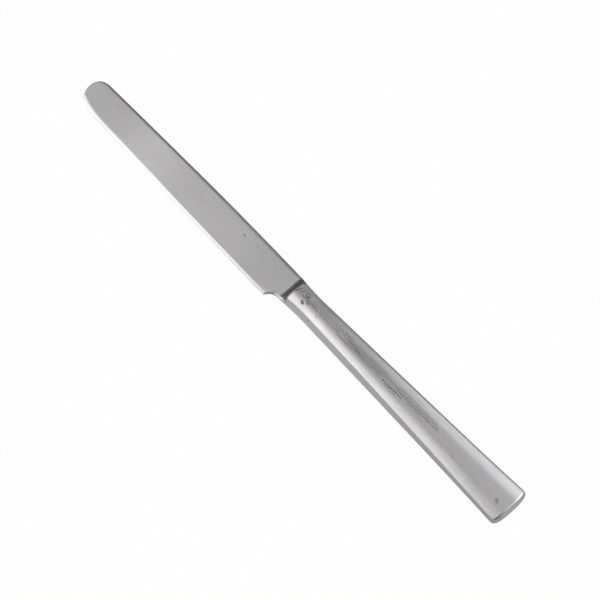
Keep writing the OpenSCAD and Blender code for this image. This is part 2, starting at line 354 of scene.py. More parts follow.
class Blank:
    """A flat sheet with rings along X and lines across, shaped in edit mode as by hand."""

    def __init__(self, name: str, stations: Sequence[float], shares: Sequence[float]) -> None:
        """Adds the sheet and slides its rings and lines to their places.

        Args:
            name: Name of the finished piece.
            stations: Place of each ring along X, in rising order.
            shares: Place of each line across, in rising order.
        """
        clear_selection()
        length, width = stations[-1] - stations[0], shares[-1] - shares[0]
        bpy.ops.mesh.primitive_grid_add(
            x_subdivisions=len(stations) - 1, y_subdivisions=len(shares) - 1, size=1,
            location=((stations[-1] + stations[0]) / 2, (shares[-1] + shares[0]) / 2, 0),
            scale=(length, width, 1))
        self.piece = bpy.context.object
        self.piece.name = self.piece.data.name = name
        bpy.ops.object.transform_apply(location=True, rotation=True, scale=True)
        self.mesh = open_mesh(self.piece)
        order = sorted(self.mesh.verts, key=lambda v: (round(v.co.x / length, PLACE_DIGITS), v.co.y))
        self.rings = [order[k:k + len(shares)] for k in range(0, len(order), len(shares))]
        self.picked: list = []
        for ring, x in zip(self.rings, stations):
            self.slide(ring, (x - ring[0].co.x, 0, 0))
        for line, y in enumerate(shares):
            points = [ring[line] for ring in self.rings]
            self.slide(points, (0, y - points[0].co.y, 0))

    def pick(self, points: Sequence) -> None:
        """Selects those points and no others."""
        for point in self.picked:
            point.select = False
        for point in points:
            point.select = True
        self.picked = list(points)

    def slide(self, points: Sequence, offset: Sequence[float]) -> None:
        """Moves the points by the offset."""
        self.pick(points)
        bpy.ops.transform.translate(value=tuple(offset))

    def stretch(self, ring: Sequence, low: float, high: float) -> None:
        """Makes a ring that runs from 0 to 1 run from low to high along Y."""
        self.pick(ring)
        bpy.ops.transform.resize(value=(1, high - low, 1), center_override=(ring[0].co.x, 0, 0))
        bpy.ops.transform.translate(value=(0, low, 0))

    def fold_rims(self, spare: float) -> None:
        """Folds the spare strip beyond each side edge onto that edge."""
        self.slide([ring[0] for ring in self.rings], (0, spare, 0))
        self.slide([ring[-1] for ring in self.rings], (0, -spare, 0))

    def done(self) -> Piece:
        """Merges doubles, leaves edit mode and returns the piece."""
        bpy.ops.mesh.select_all(action="SELECT")
        bpy.ops.mesh.remove_doubles(threshold=MERGE_DISTANCE)
        bpy.ops.mesh.select_all(action="DESELECT")
        bpy.ops.object.mode_set(mode="OBJECT")
        return self.piece


def edit_faces(piece: Piece, operator: Callable, **settings: Any) -> None:
    """Runs an operator of edit mode, with its own settings, on all faces of the piece."""
    pick_object(piece)
    bpy.ops.object.mode_set(mode="EDIT")
    bpy.ops.mesh.select_all(action="SELECT")
    operator(**settings)
    bpy.ops.object.mode_set(mode="OBJECT")


def paint(piece: Piece, finish: Union["SteelFinish", "CementFinish"]) -> None:
    """Makes the finish's material the only one of the piece."""
    piece.data.materials.clear()
    piece.data.materials.append(finish.build())


def smooth(piece: Piece, angle: float) -> None:
    """Shades the piece smooth up to the angle, in degrees, and favours the large faces."""
    pick_object(piece)
    bpy.ops.object.shade_smooth_by_angle(angle=math.radians(angle))
    finish_with(piece, "WEIGHTED_NORMAL", keep_sharp=True, weight=LARGE_FACE_WEIGHT)


@dataclass(frozen=True)
class Signal:
    """One output socket of a material, with arithmetic that adds Math nodes."""

    net: "Net"
    socket: bpy.types.NodeSocket

    def math(self, operation: str, *others: Number) -> "Signal":
        """Returns the result of a Math node with this value as its first input."""
        values = {0: self, **{k + 1: other for k, other in enumerate(others)}}
        return self.net.value("ShaderNodeMath", {"operation": operation}, values)

    def __add__(self, other: Number) -> "Signal":
        """Returns this + other."""
        return self.math("ADD", other)

    def __sub__(self, other: Number) -> "Signal":
        """Returns this - other."""
        return self.math("SUBTRACT", other)

    def __rsub__(self, other: float) -> "Signal":
        """Returns other - this."""
        return self.net.value("ShaderNodeMath", {"operation": "SUBTRACT"}, {0: other, 1: self})

    def __mul__(self, other: Number) -> "Signal":
        """Returns this * other."""
        return self.math("MULTIPLY", other)

    __radd__, __rmul__ = __add__, __mul__

    def highest(self, other: Number) -> "Signal":
        """Returns the larger of the two."""
        return self.math("MAXIMUM", other)

    def step(self, low: float, high: float, start: float = 0, end: float = 1) -> "Signal":
        """Returns start below low, end above high and a smooth change between them."""
        values = {"Value": self, "From Min": low, "From Max": high, "To Min": start, "To Max": end}
        return self.net.value("ShaderNodeMapRange", {"interpolation_type": "SMOOTHSTEP"}, values)


@dataclass
class Net:
    """The nodes of one material or world, made one after another."""

    tree: bpy.types.NodeTree

    def node(self, kind: str, settings: Mapping[str, Any] = NOTHING,
             values: Mapping[Any, Any] = NOTHING) -> bpy.types.Node:
        """Adds a node.

        Args:
            kind: The node's type.
            settings: Its settings, set before its sockets.
            values: A value or a link for each socket, by name or index.

        Returns:
            The new node.
        """
        made = self.tree.nodes.new(kind)
        for name, value in settings.items():
            setattr(made, name, value)
        for key, value in values.items():
            if isinstance(value, Signal):
                self.tree.links.new(value.socket, made.inputs[key])
            else:
                made.inputs[key].default_value = value
        return made

    def value(self, kind: str, settings: Mapping[str, Any] = NOTHING,
              values: Mapping[Any, Any] = NOTHING, output: Union[int, str] = 0) -> Signal:
        """Adds a node and returns one of its outputs."""
        return Signal(self, self.node(kind, settings, values).outputs[output])

    def end(self, surface: Signal, output: str = "ShaderNodeOutputMaterial") -> None:
        """Links the surface to a new output node."""
        self.node(output, NOTHING, {"Surface": surface})

    def vector(self, operation: str, a: Any, b: Any = (0, 0, 0), output: str = "Vector") -> Signal:
        """Returns the result of a Vector Math node."""
        return self.value("ShaderNodeVectorMath", {"operation": operation}, {0: a, 1: b}, output)

    def blend(self, a: Any, b: Any, factor: Any) -> Signal:
        """Returns a colour that is factor of the way from a to b."""
        return self.value("ShaderNodeMix", {"data_type": "RGBA"}, {0: factor, 6: a, 7: b}, 2)

    def scaled(self, vector: Any, factor: Any) -> Signal:
        """Returns the vector or colour times the factor."""
        return self.value("ShaderNodeVectorMath", {"operation": "SCALE"}, {0: vector, "Scale": factor})

    def coordinate(self, where: Signal, axis: int) -> Signal:
        """Returns the coordinate along X, Y or Z, for axis 0, 1 or 2."""
        return self.vector("DOT_PRODUCT", where, tuple(float(k == axis) for k in range(3)), "Value")

    def bump(self, height: Signal) -> Signal:
        """Returns the normal that relief of that height, in metres, gives."""
        values = {"Height": height, "Strength": 1.0, "Distance": 1.0}
        return self.value("ShaderNodeBump", NOTHING, values, "Normal")


def empty_net(owner: Union[bpy.types.Material, bpy.types.World]) -> Net:
    """Returns the emptied nodes of a new material or world."""
    owner.use_nodes = True
    owner.node_tree.nodes.clear()
    return Net(owner.node_tree)


@dataclass(frozen=True)
class Grain:
    """Noise from 0 to 1, by its waves a metre along X, Y and Z, its finer layers and its seed."""

    per_metre: tuple
    detail: float
    seed: float = 0
    roughness: float = 0.55

    def read(self, net: Net, where: Signal) -> Signal:
        """Returns the noise at the coordinates."""
        stretched = net.vector("MULTIPLY", where, self.per_metre)
        return net.value("ShaderNodeTexNoise", {"noise_dimensions": "4D"}, {
            "Vector": stretched, "W": self.seed, "Scale": 1, "Detail": self.detail,
            "Roughness": self.roughness})


BRUSH = Grain((45, 5200, 5200), 3)
STREAK = Grain((22, 900, 900), 3, 4)
CLOUD = Grain((70, 160, 160), 4, 9)
CAST = Grain((38, 90, 90), 1, 17)
BREAKS = Grain((700, 2500, 2500), 2, 31)
RAGGED = Grain((400, 900, 900), 3, 5)
CEMENT_GRAIN = Grain((1800, 1800, 1800), 4)

# The turn of each layer of fine scratches, its noise, and the level at which a scratch starts.
SCRATCHES = ((0.03, Grain((26, 2600, 520), 1, 2600), 0.665),
             (-0.12, Grain((60, 2300, 460), 1, 2300), 0.69),
             (0.5, Grain((120, 1900, 380), 1, 1900), 0.72))
SCRATCH_EDGE = 0.05


@dataclass(frozen=True)
class Mark:
    """One scratch, pit, smudge or soft band of painted shade on the upper side, from one place in plan
    to another.
    """

    x: float
    y: float
    to_x: float
    to_y: float
    width: float
    depth: float = 1
    stain_and_shade: float = 0.5
    core_share: float = 0.2
    rim_share: float = 1.3

    def mask(self, net: Net, plan: Signal) -> Signal:
        """Returns 1 on the mark's centre line, falling to 0 at its rim, from coordinates without Z."""
        start = Vector((self.x, self.y, 0)) * MM
        run = Vector((self.to_x, self.to_y, 0)) * MM - start
        out = net.vector("SUBTRACT", plan, tuple(start))
        if run.length > 0:
            share = net.vector("DOT_PRODUCT", out, tuple(run / run.length_squared), "Value")
            share = net.value("ShaderNodeClamp", NOTHING, {"Value": share})
            out = net.vector("SUBTRACT", out, net.scaled(tuple(run), share))
        core, rim = self.core_share * self.width * MM, self.rim_share * self.width * MM
        return net.vector("LENGTH", out, output="Value").step(core, rim, 1, 0)


@dataclass(frozen=True)
class PaintedReflection:
    """A broad stretch along the knife whose colour is painted brighter, as a painted reflection, or
    darker, as painted shade, by the sign of its gain.
    """

    x: float
    reach: float
    gain: float

    def mask(self, x: Signal) -> Signal:
        """Returns the gain at its middle, falling to 0 at its ends."""
        away = (x - self.x * MM).math("ABSOLUTE")
        return away.step(0, self.reach * MM, self.gain, 0)


@dataclass(frozen=True)
class SteelFinish:
    """Ground, worn stainless steel with its brushing, scratches, stains and colour casts, and painted
    shade and painted reflections in its colour.
    """

    name: str
    slot: str
    handle: HandleShape
    colour: tuple = (0.503, 0.498, 0.501)
    roughness: float = 0.25
    brush_depth: float = 0.0005 * MM
    scratch_depth: float = 0.0005 * MM
    cast: float = 0.35
    # Painted shade: the colour is made darker between two places along X, on the ramp of the blade's
    # bolster.
    ramp_shade_from: float = 0
    ramp_shade_to: float = 0
    ramp_shade_side: float = 0
    marks: Sequence[Mark] = ()
    painted_reflections: Sequence[PaintedReflection] = ()
    warm_cast: tuple = (1.035, 0.985, 0.995, 1)
    cool_cast: tuple = (0.98, 0.995, 1.035, 1)
    stain_and_shade_colour: tuple = (0.075, 0.072, 0.07, 1)
    worn_gain: float = 0.86
    cast_change: tuple = (0.35, 0.65)
    cloud_wear: tuple = (0.45, 0.75, 0, 0.5)
    streak_wear: tuple = (0.5, 0.8, 0, 0.35)
    mark_breaks: tuple = (0.3, 0.62, 0.6, 1)
    streak_depth_share: float = 0.8
    brush_rough: float = 0.06
    streak_rough: float = 0.08
    cloud_rough: float = 0.14
    scratch_rough: float = 0.12
    ramp_shade_rough: float = 0.2
    stain_rough: float = 0.15
    scratch_stain: float = 0.12
    ramp_shade_darkness: float = 0.85
    mark_depth: float = 0.02 * MM
    mark_stain_and_shade: float = 1.55
    deepest_stain_and_shade: float = 0.95
    upper_from: float = 0.3 * MM
    ramp_shade_edge: float = 0.15 * MM
    ramp_shade_rag: float = 0.4 * MM

    def build(self) -> bpy.types.Material:
        """Returns the material."""
        material = bpy.data.materials.new(self.name)
        net = empty_net(material)
        where = net.value("ShaderNodeTexCoord", output="Object")
        brush, streak, cloud = (grain.read(net, where) for grain in (BRUSH, STREAK, CLOUD))
        scratches = self.scratches(net, where)
        marks, stain_and_shade = self.placed_marks(net, where)
        painted_ramp_shade = self.painted_ramp_shade(net, where)

        cast = CAST.read(net, where).step(*self.cast_change)
        cast = net.blend(self.warm_cast, self.cool_cast, cast)
        plain = net.blend((1, 1, 1, 1), cast, self.cast)
        base = net.value("ShaderNodeMix", {"data_type": "RGBA", "blend_type": "MULTIPLY"},
                         {0: 1, 6: (*self.colour, 1), 7: plain}, 2)
        wear = cloud.step(*self.cloud_wear) + streak.step(*self.streak_wear)
        worn_with_painted_reflection = net.blend(base, (*(part * self.worn_gain for part in self.colour), 1), wear)
        # Painted reflection and painted shade: the colour is made brighter or darker in broad stretches
        # along X.
        gain = 1.0
        for painted_reflection in self.painted_reflections:
            gain = painted_reflection.mask(net.coordinate(where, 0)) + gain
        if self.painted_reflections:
            worn_with_painted_reflection = net.scaled(worn_with_painted_reflection, gain)
        # Stains, scratches and the painted shade on the ramp darken the colour.
        soiled_and_shaded = stain_and_shade + scratches * self.scratch_stain + painted_ramp_shade * self.ramp_shade_darkness
        dark = net.blend(worn_with_painted_reflection, self.stain_and_shade_colour, soiled_and_shaded.math("MINIMUM", self.deepest_stain_and_shade))

        rough = self.roughness + (brush - 0.5) * self.brush_rough
        rough = rough + (streak - 0.5) * self.streak_rough + (cloud - 0.5) * self.cloud_rough
        rough = rough + scratches * self.scratch_rough + painted_ramp_shade * self.ramp_shade_rough
        rough = rough + stain_and_shade * self.stain_rough
        height = brush * self.brush_depth + streak * self.brush_depth * self.streak_depth_share
        height = height - scratches * self.scratch_depth - marks
        shader = net.value("ShaderNodeBsdfPrincipled", NOTHING, {
            "Base Color": dark, "Metallic": 1.0, "Roughness": rough, "Normal": net.bump(height)})
        net.end(shader)
        return material

    def scratches(self, net: Net, where: Signal) -> Signal:
        """Returns the mask of the fine scratches, most of them lengthwise."""
        found = []
        for turn, grain, level in SCRATCHES:
            turned = net.value("ShaderNodeMapping", NOTHING, {"Vector": where, "Rotation": (0, 0, turn)})
            found.append(grain.read(net, turned).step(level, level + SCRATCH_EDGE))
        return functools.reduce(Signal.highest, found)

    def placed_marks(self, net: Net, where: Signal) -> tuple:
        """Returns the depth, in metres, and the darkening of the marks on the upper side, real stains
        and painted shade alike.
        """
        if not self.marks:
            nothing = net.vector("LENGTH", (0, 0, 0), output="Value")
            return nothing, nothing
        plan = net.vector("MULTIPLY", where, (1, 1, 0))
        above = net.vector("DOT_PRODUCT", where, (-self.handle.slope, 0, 1), "Value")
        upper = (above - self.handle.seam_z(0)).step(0, self.upper_from)
        masks = [(mark, mark.mask(net, plan)) for mark in self.marks]
        depth = functools.reduce(Signal.highest, (
            mask * (mark.depth * self.mark_depth) for mark, mask in masks))
        stain_and_shade = functools.reduce(Signal.highest, (
            mask * min(self.deepest_stain_and_shade, mark.stain_and_shade * self.mark_stain_and_shade) for mark, mask in masks))
        broken = BREAKS.read(net, where).step(*self.mark_breaks)
        return depth * upper * broken, stain_and_shade * upper * broken

    def painted_ramp_shade(self, net: Net, where: Signal) -> Signal:
        """Returns the mask of the painted shade on the ramp, between two places along X and short of a
        place along Y, with a ragged edge.
        """
        x, y, soft = net.coordinate(where, 0), net.coordinate(where, 1), self.ramp_shade_edge
        if self.ramp_shade_to <= self.ramp_shade_from:
            return x * 0.0
        ragged = x + (RAGGED.read(net, where) - 0.5) * self.ramp_shade_rag
        return (ragged.step(self.ramp_shade_from - soft, self.ramp_shade_from + soft)
                * ragged.step(self.ramp_shade_to - soft, self.ramp_shade_to + soft, 1, 0)
                * y.step(self.ramp_shade_side - soft, self.ramp_shade_side + soft, 1, 0))


@dataclass(frozen=True)
class CementFinish:
    """The pale, grainy filling that holds the tang inside the handle."""

    name: str = "cement_filling"
    dark: tuple = (0.42, 0.40, 0.36, 1)
    light: tuple = (0.62, 0.60, 0.55, 1)
    grain_depth: float = 0.08 * MM
    roughness: float = 0.75
    grain_rough: float = 0.2
    grain_change: tuple = (0.3, 0.7)

    def build(self) -> bpy.types.Material:
        """Returns the material."""
        material = bpy.data.materials.new(self.name)
        net = empty_net(material)
        where = net.value("ShaderNodeTexCoord", output="Object")
        grain = CEMENT_GRAIN.read(net, where)
        colour = net.blend(self.dark, self.light, grain.step(*self.grain_change))
        shader = net.value("ShaderNodeBsdfPrincipled", NOTHING, {
            "Base Color": colour, "Normal": net.bump(grain * self.grain_depth),
            "Roughness": self.roughness + (grain - 0.5) * self.grain_rough})
        net.end(shader)
        return material


@dataclass
class Blade:
    """The forging: blade, bolster, shoulder and tang in one piece."""

    shape: BladeShape
    finish: SteelFinish
    shoulder_len: float = 2.5 * MM
    fit_gap: float = 0.05 * MM
    tang_len: float = 60 * MM
    tang_root_w: float = 4.6 * MM
    tang_end_w: float = 3.2 * MM
    tang_t: float = 2.4 * MM
    key_hole_d: float = 1.6 * MM
    key_hole_shares: tuple = (0.3, 0.65)
    key_hole_sides: int = 40
    tang_round_share: float = 0.46
    tang_round_steps: int = 10
    shoulder_round: float = 0.15 * MM
    overlap: float = 0.1 * MM
    lines: tuple = (0, 0.012, 0.03, 0.05, 0.07, 0.09, 0.135, 0.18, 0.24, 0.31, 0.38, 0.45, 0.52, 0.59,
                    0.66, 0.73, 0.79, 0.83, 0.865, 0.9, 0.92, 0.94, 0.955, 0.967, 0.978, 0.989, 1)
    ramp_lead: float = 0.25 * MM
    ramp_rings: int = 12
    choil_rings: int = 18
    choil_crowding: float = 1.6
    flank_rings: int = 26
    belly_rings: int = 20
    belly_crowding: float = 1.8
    tip_rings: int = 14
    tip_crowding: float = 2
    spare_len: float = 0.3 * MM
    spare_share: float = 0.02
    smooth_angle: float = 38

    def stops(self) -> list:
        """Returns the places of the rings, as distances from the foot of the ramp."""
        s = self.shape
        ramp, choil, flank = self.ramp_rings, self.choil_rings, self.flank_rings
        belly, tip = self.belly_rings, self.tip_rings
        places = [s.collar_at, -s.ramp_len - self.ramp_lead, -s.ramp_len]
        places += [-s.ramp_len * (1 - k / ramp) for k in range(1, ramp)] + [0.0]
        places += [s.heel_at * (1 - (1 - k / choil) ** self.choil_crowding) for k in range(1, choil + 1)]
        places += [mix(s.heel_at, s.belly_at, k / flank) for k in range(1, flank + 1)]
        places += [s.corner_at - s.belly_len * (1 - k / belly) ** self.belly_crowding
                   for k in range(1, belly + 1)]
        places += [s.length - s.corner_len * (k / tip) ** self.tip_crowding
                   for k in range(tip - 1, -1, -1)]
        return places

    def forge(self) -> Piece:
        """Returns the blade and bolster as one closed body, without the tang."""
        s, places, spare, extra = self.shape, self.stops(), self.spare_share, self.spare_len
        stations = [places[0] - extra, *places, places[-1] + extra]
        blank = Blank("knife_blade", [s.foot_x + a for a in stations], (-spare, *self.lines, 1 + spare))
        blank.slide(blank.rings[0], (extra, 0, 0))
        blank.slide(blank.rings[-1], (-extra, 0, 0))
        blank.fold_rims(spare)
        for ring, a in zip(blank.rings, [places[0], *places, places[-1]]):
            blank.stretch(ring, s.handle.axis_y - s.spine(a), s.handle.axis_y + s.edge(a))
        for ring, a in zip(blank.rings[1:-1], places):
            for point, share in zip(ring[1:-1], self.lines):
                blank.slide([point], (0, 0, s.half_thickness(a, share, point.co.y - s.handle.axis_y)))
        body = blank.done()
        finish_with(body, "MIRROR", use_axis=(False, False, True), merge_threshold=MIRROR_DISTANCE)
        self.tilt(body)
        edit_faces(body, bpy.ops.mesh.normals_make_consistent, inside=False)
        return body

    def tilt(self, body: Piece) -> None:
        """Lifts each ring of the body to the seam plane and keeps the bolster above the floor."""
        mesh = open_mesh(body)
        rings: dict = {}
        for point in mesh.verts:
            rings.setdefault(round(point.co.x, PLACE_DIGITS), []).append(point)
        for x, ring in rings.items():
            for point in ring:
                point.select = True
            bpy.ops.transform.translate(value=(0, 0, self.shape.handle.seam_z(x)))
            for point in ring:
                point.select = False
        sunk = [point for point in mesh.verts if point.co.z < 0]
        for point in sunk:
            point.select = True
        if sunk:
            press_flat()
        bpy.ops.mesh.select_all(action="DESELECT")
        bpy.ops.object.mode_set(mode="OBJECT")

    def to_seam(self) -> None:
        """Turns and lifts the selected body, modelled about the handle's mouth, into the seam plane."""
        handle = self.shape.handle
        place = (handle.mouth_x, handle.axis_y, handle.seam_z(handle.mouth_x))
        bpy.ops.transform.rotate(value=math.atan(handle.slope), orient_axis="Y",
                                 center_override=(0, 0, 0))
        bpy.ops.transform.translate(value=place)
        bpy.ops.object.transform_apply(location=True, rotation=True, scale=True)

    def bar(self) -> Piece:
        """Returns the tapered tang with its round end and two key holes."""
        bar = add_block((self.overlap - self.tang_len) / 2 - self.shoulder_len,
                        (self.tang_len + self.overlap, self.tang_root_w, self.tang_t))
        mesh = open_mesh(bar)
        end_x = min(point.co.x for point in mesh.verts)
        for point in mesh.verts:
            point.select = point.co.x < end_x + MM
        bpy.ops.transform.resize(value=(1, self.tang_end_w / self.tang_root_w, 1),
                                 center_override=(end_x, 0, 0))
        bpy.ops.mesh.select_mode(type="EDGE")
        for edge in mesh.edges:
            edge.select = all(point.co.x < end_x + MM for point in edge.verts) and (
                abs(edge.verts[0].co.z - edge.verts[1].co.z) > MM)
        bpy.ops.mesh.bevel(offset=self.tang_end_w * self.tang_round_share,
                           segments=self.tang_round_steps, affect="EDGES")
        bpy.ops.object.mode_set(mode="OBJECT")
        for share in self.key_hole_shares:
            clear_selection()
            bpy.ops.mesh.primitive_cylinder_add(
                vertices=self.key_hole_sides, radius=self.key_hole_d / 2, depth=self.tang_t * 2,
                location=(-self.shoulder_len - self.tang_len * share, 0, 0))
            combine(bar, bpy.context.object, "DIFFERENCE")
        pick_object(bar)
        self.to_seam()
        return bar

    def shoulder(self) -> Piece:
        """Returns the block that plugs the handle's mouth."""
        handle = self.shape.handle
        width = 2 * (handle.crown_width(self.shoulder_len) - handle.shell_wall - self.fit_gap)
        height = 2 * (handle.side_half(self.shoulder_len) - handle.shell_wall - self.fit_gap)
        depth = self.shoulder_len + JOINT_GAP + self.shape.collar_len / 2
        block = add_block(depth / 2 - self.shoulder_len, (depth, width, height))
        finish_with(block, "BEVEL", width=self.shoulder_round, segments=2)
        pick_object(block)
        self.to_seam()
        return block

    def build(self) -> Piece:
        """Returns the finished, dressed piece."""
        body = self.forge()
        combine(body, self.shoulder(), "UNION")
        combine(body, self.bar(), "UNION")
        smooth(body, self.smooth_angle)
        paint(body, self.finish)
        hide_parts("blade")
        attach(body, "root")
        return body


@dataclass
class HandleShell:
    """One stamped half of the hollow handle."""

    shape: HandleShape
    side: Side
    finish: SteelFinish
    edge_round: float = 0.35 * MM
    butt_round: float = 1 * MM
    rim_round: float = 0.05 * MM
    half_lines: tuple = (0.11, 0.22, 0.34, 0.45, 0.56, 0.66, 0.76, 0.85, 0.92, 0.955, 0.985, 1)
    spare_share: float = 0.01
    least_share: float = 0.001
    probe_share: float = 0.01
    rim_angle: float = math.radians(55)
    smooth_angle: float = 38

    def stops(self, lean: float, round_len: float) -> list:
        """Returns a pair for each ring, from the butt to the mouth: place along X and width share."""
        s = self.shape
        end = [(s.butt_x + lean + round_len * (1 - quarter(share, s.butt_round_power)), share)
               for share in ROUND_SHARES]
        end[0] = (s.butt_x + lean, end[0][1])
        return end + [(x, 1) for x in s.ring_places(s.butt_x + lean + round_len)]

    def roll(self, x: float, y: float) -> tuple:
        """Rounds the crown's outline, gently over the butt and tightly along the sides.

        Args:
            x: Place of a point of the crown along X.
            y: Its distance from the handle's axis.

        Returns:
            How far the point moves along X and Y, and how far it sinks.
        """
        s = self.shape
        d, power = s.mouth_x - x, s.butt_round_power
        wide, ahead = s.crown_width(d), x - s.butt_x - s.butt_lean
        share, left = clamp(abs(y) / wide), 1 - clamp(ahead / s.crown_round_len)
        slope_x = left ** (power - 1) / s.crown_round_len
        slope_y = max(share, self.least_share) ** (power - 1) / wide
        slope = math.hypot(slope_x, slope_y)
        inside = min((1 - share ** power - left ** power) / power / slope,
                     ahead - s.crown_round_len * (1 - quarter(share, power)))
        end = slope_x / slope
        probe = self.probe_share * wide
        tilt = math.atan((s.crown(d, wide - probe) - s.side_half(d)) / probe) * (1 - end)
        turn = math.pi / 2 - mix(s.wall_lean, s.butt_lean_angle, end) - tilt
        radius = mix(self.edge_round, self.butt_round, end)
        reach = radius * math.tan(turn / 2)
        if inside >= reach:
            return 0, 0, 0
        angle = turn * (1 - max(0, inside) / reach)
        out, sink = inside - reach + radius * math.sin(angle), radius * (1 - math.cos(angle))
        away = out * math.cos(tilt) - sink * math.sin(tilt)
        down = out * math.sin(tilt) + sink * math.cos(tilt)
        return -away * end, away * math.copysign(slope_y / slope, y), down

    def build(self) -> Piece:
        """Returns the finished, dressed shell."""
        s, sign, spare = self.shape, self.side.value, self.spare_share
        crowns, rims = self.stops(s.butt_lean, s.crown_round_len), self.stops(0, s.butt_round_len)
        lines = (*self.half_lines, 1 + spare)
        blank = Blank(f"handle_shell_{self.side.name.lower()}_half",
                      [s.butt_x, *(x for x, _ in crowns)],
                      (*(-share for share in reversed(lines)), 0, *lines))
        blank.fold_rims(spare)
        end = [(s.butt_x, s.apex_share), *crowns]
        for k, (ring, (x, share)) in enumerate(zip(blank.rings, end)):
            half = (s.half_width(s.mouth_x - x) if k == 0 else s.crown_width(s.mouth_x - x)) * share
            blank.pick(ring)
            bpy.ops.transform.resize(value=(1, half, 1), center_override=(x, 0, 0))
            bpy.ops.transform.translate(value=(0, s.axis_y, s.seam_z(x) + sign * s.weld_t / 2))
        for ring, (x, _), (rim_x, share) in zip(blank.rings[1:], crowns, rims):
            for point in ring[1:-1]:
                y = point.co.y - s.axis_y
                along, aside, sink = self.roll(x, y)
                crown = s.crown(s.mouth_x - x, y) - s.weld_t / 2
                blank.slide([point], (along, aside, sign * (crown - sink)))
            for point, hand in ((ring[0], -1), (ring[-1], 1)):
                out = s.axis_y + hand * s.half_width(s.mouth_x - rim_x) * share
                blank.slide([point], (rim_x - x, out - point.co.y, s.seam_z(rim_x) - s.seam_z(x)))
        sunk = [point for ring in blank.rings for point in ring if point.co.z < 0]
        if sunk:
            blank.pick(sunk)
            press_flat()
        shell = blank.done()
        if self.side is Side.LOWER:
            edit_faces(shell, bpy.ops.mesh.flip_normals)
        finish_with(shell, "SOLIDIFY", thickness=s.shell_wall, offset=-1, use_even_offset=True)
        finish_with(shell, "BEVEL", width=self.rim_round, segments=2,
                    limit_method="ANGLE", angle_limit=self.rim_angle)
        smooth(shell, self.smooth_angle)
        paint(shell, self.finish)
        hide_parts(f"handle_shell_{self.side.name.lower()}")
        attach(shell, "root")
        return shell


@dataclass
class SeamWeld:
    """The ground-flush bead that joins the two shells round their rims."""

    shape: HandleShape
    finish: SteelFinish
    smooth_angle: float = 30

    def path(self) -> list:
        """Returns the outline in plan, from one side of the mouth round the butt to the other."""
        s = self.shape
        side = []
        for share in (0, *ROUND_SHARES):
            x = s.butt_x
            if share > s.apex_share:
                x += s.butt_round_len * (1 - quarter(share, s.butt_round_power))
            side.append((x, s.half_width(s.mouth_x - x) * share))
        side += [(x, s.half_width(s.mouth_x - x)) for x in s.ring_places(s.butt_x + s.butt_round_len)]
        return [(x, -y) for x, y in reversed(side)] + side[1:]

    def build(self) -> Piece:
        """Returns the finished, dressed bead."""
        s, path = self.shape, self.path()
        half = s.weld_t / 2
        steps = [k * MM for k in range(len(path))]
        blank = Blank("seam_weld_bead", steps, (-half, 0, half))
        for ring, step, (x, y) in zip(blank.rings, steps, path):
            for point in ring:
                rise = point.co.y
                blank.slide([point], (x - step, s.axis_y + y - rise, s.seam_z(x) + rise))
        bead = blank.done()
        edit_faces(bead, bpy.ops.mesh.flip_normals)
        finish_with(bead, "SOLIDIFY", thickness=s.shell_wall, offset=-1, use_even_offset=True)
        smooth(bead, self.smooth_angle)
        paint(bead, self.finish)
        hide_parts("seam_weld")
        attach(bead, "root")
        return bead


@dataclass
class Filling:
    """The cement inside the handle, which keeps the CAD node's own mesh."""

    finish: CementFinish = field(default_factory=CementFinish)

    def build(self) -> Piece:
        """Returns the CAD node with its material."""
        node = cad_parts["handle_cement"]
        paint(node, self.finish)
        return node


class Way(Enum):
    """The directions along which the floor or the room gets brighter or darker."""

    ALONG = "to the tip"
    AWAY = "to the butt"
    ASIDE = "to the cutting edge's side"
    BACK = "to the spine's side"
    UP = "up"
    SLANT = "across the window's slanted rim"
    LIFT = "up, bent on the spine's side"


@dataclass(frozen=True)
class Rise:
    """A soft change from start to end between two places of one direction."""

    way: Way
    low: float
    high: float
    start: float = 0
    end: float = 1


def bounded(ways: Mapping[Way, Signal], rises: Sequence[Rise]) -> Signal:
    """Returns the product of the rises."""
    parts = (ways[rise.way].step(rise.low, rise.high, rise.start, rise.end) for rise in rises)
    return functools.reduce(Signal.__mul__, parts)


@dataclass(frozen=True)
class Panel:
    """A part of the room that is brighter or darker than the rest by its gain."""

    gain: float
    rises: Sequence[Rise]


# The glowing floor that the steel mirrors, painted with light and shade: its level, darker towards the
# butt and on the spine's side, the painted shade under the spine and the painted light by the butt.
FLOOR_LEVEL = (Rise(Way.ALONG, -0.12, 0, 0.55, 0.82), Rise(Way.ASIDE, -0.05, -0.012, 0.5))
FLOOR_SHADE = (Rise(Way.ASIDE, -0.03, -0.02), Rise(Way.ASIDE, -0.008, -0.005, 1, 0),
               Rise(Way.ALONG, -0.12, -0.04, 0.12, 0.57))
FLOOR_BUTT = (Rise(Way.ALONG, -0.1185, -0.1155, 0.2, 0),)

# The dark wall that the crown mirrors on the spine's side.
DARK_WALL = (Rise(Way.BACK, 0.24, 0.38), Rise(Way.ALONG, 0.2, 0.26), Rise(Way.ALONG, 0.4, 0.6, 1, 0))

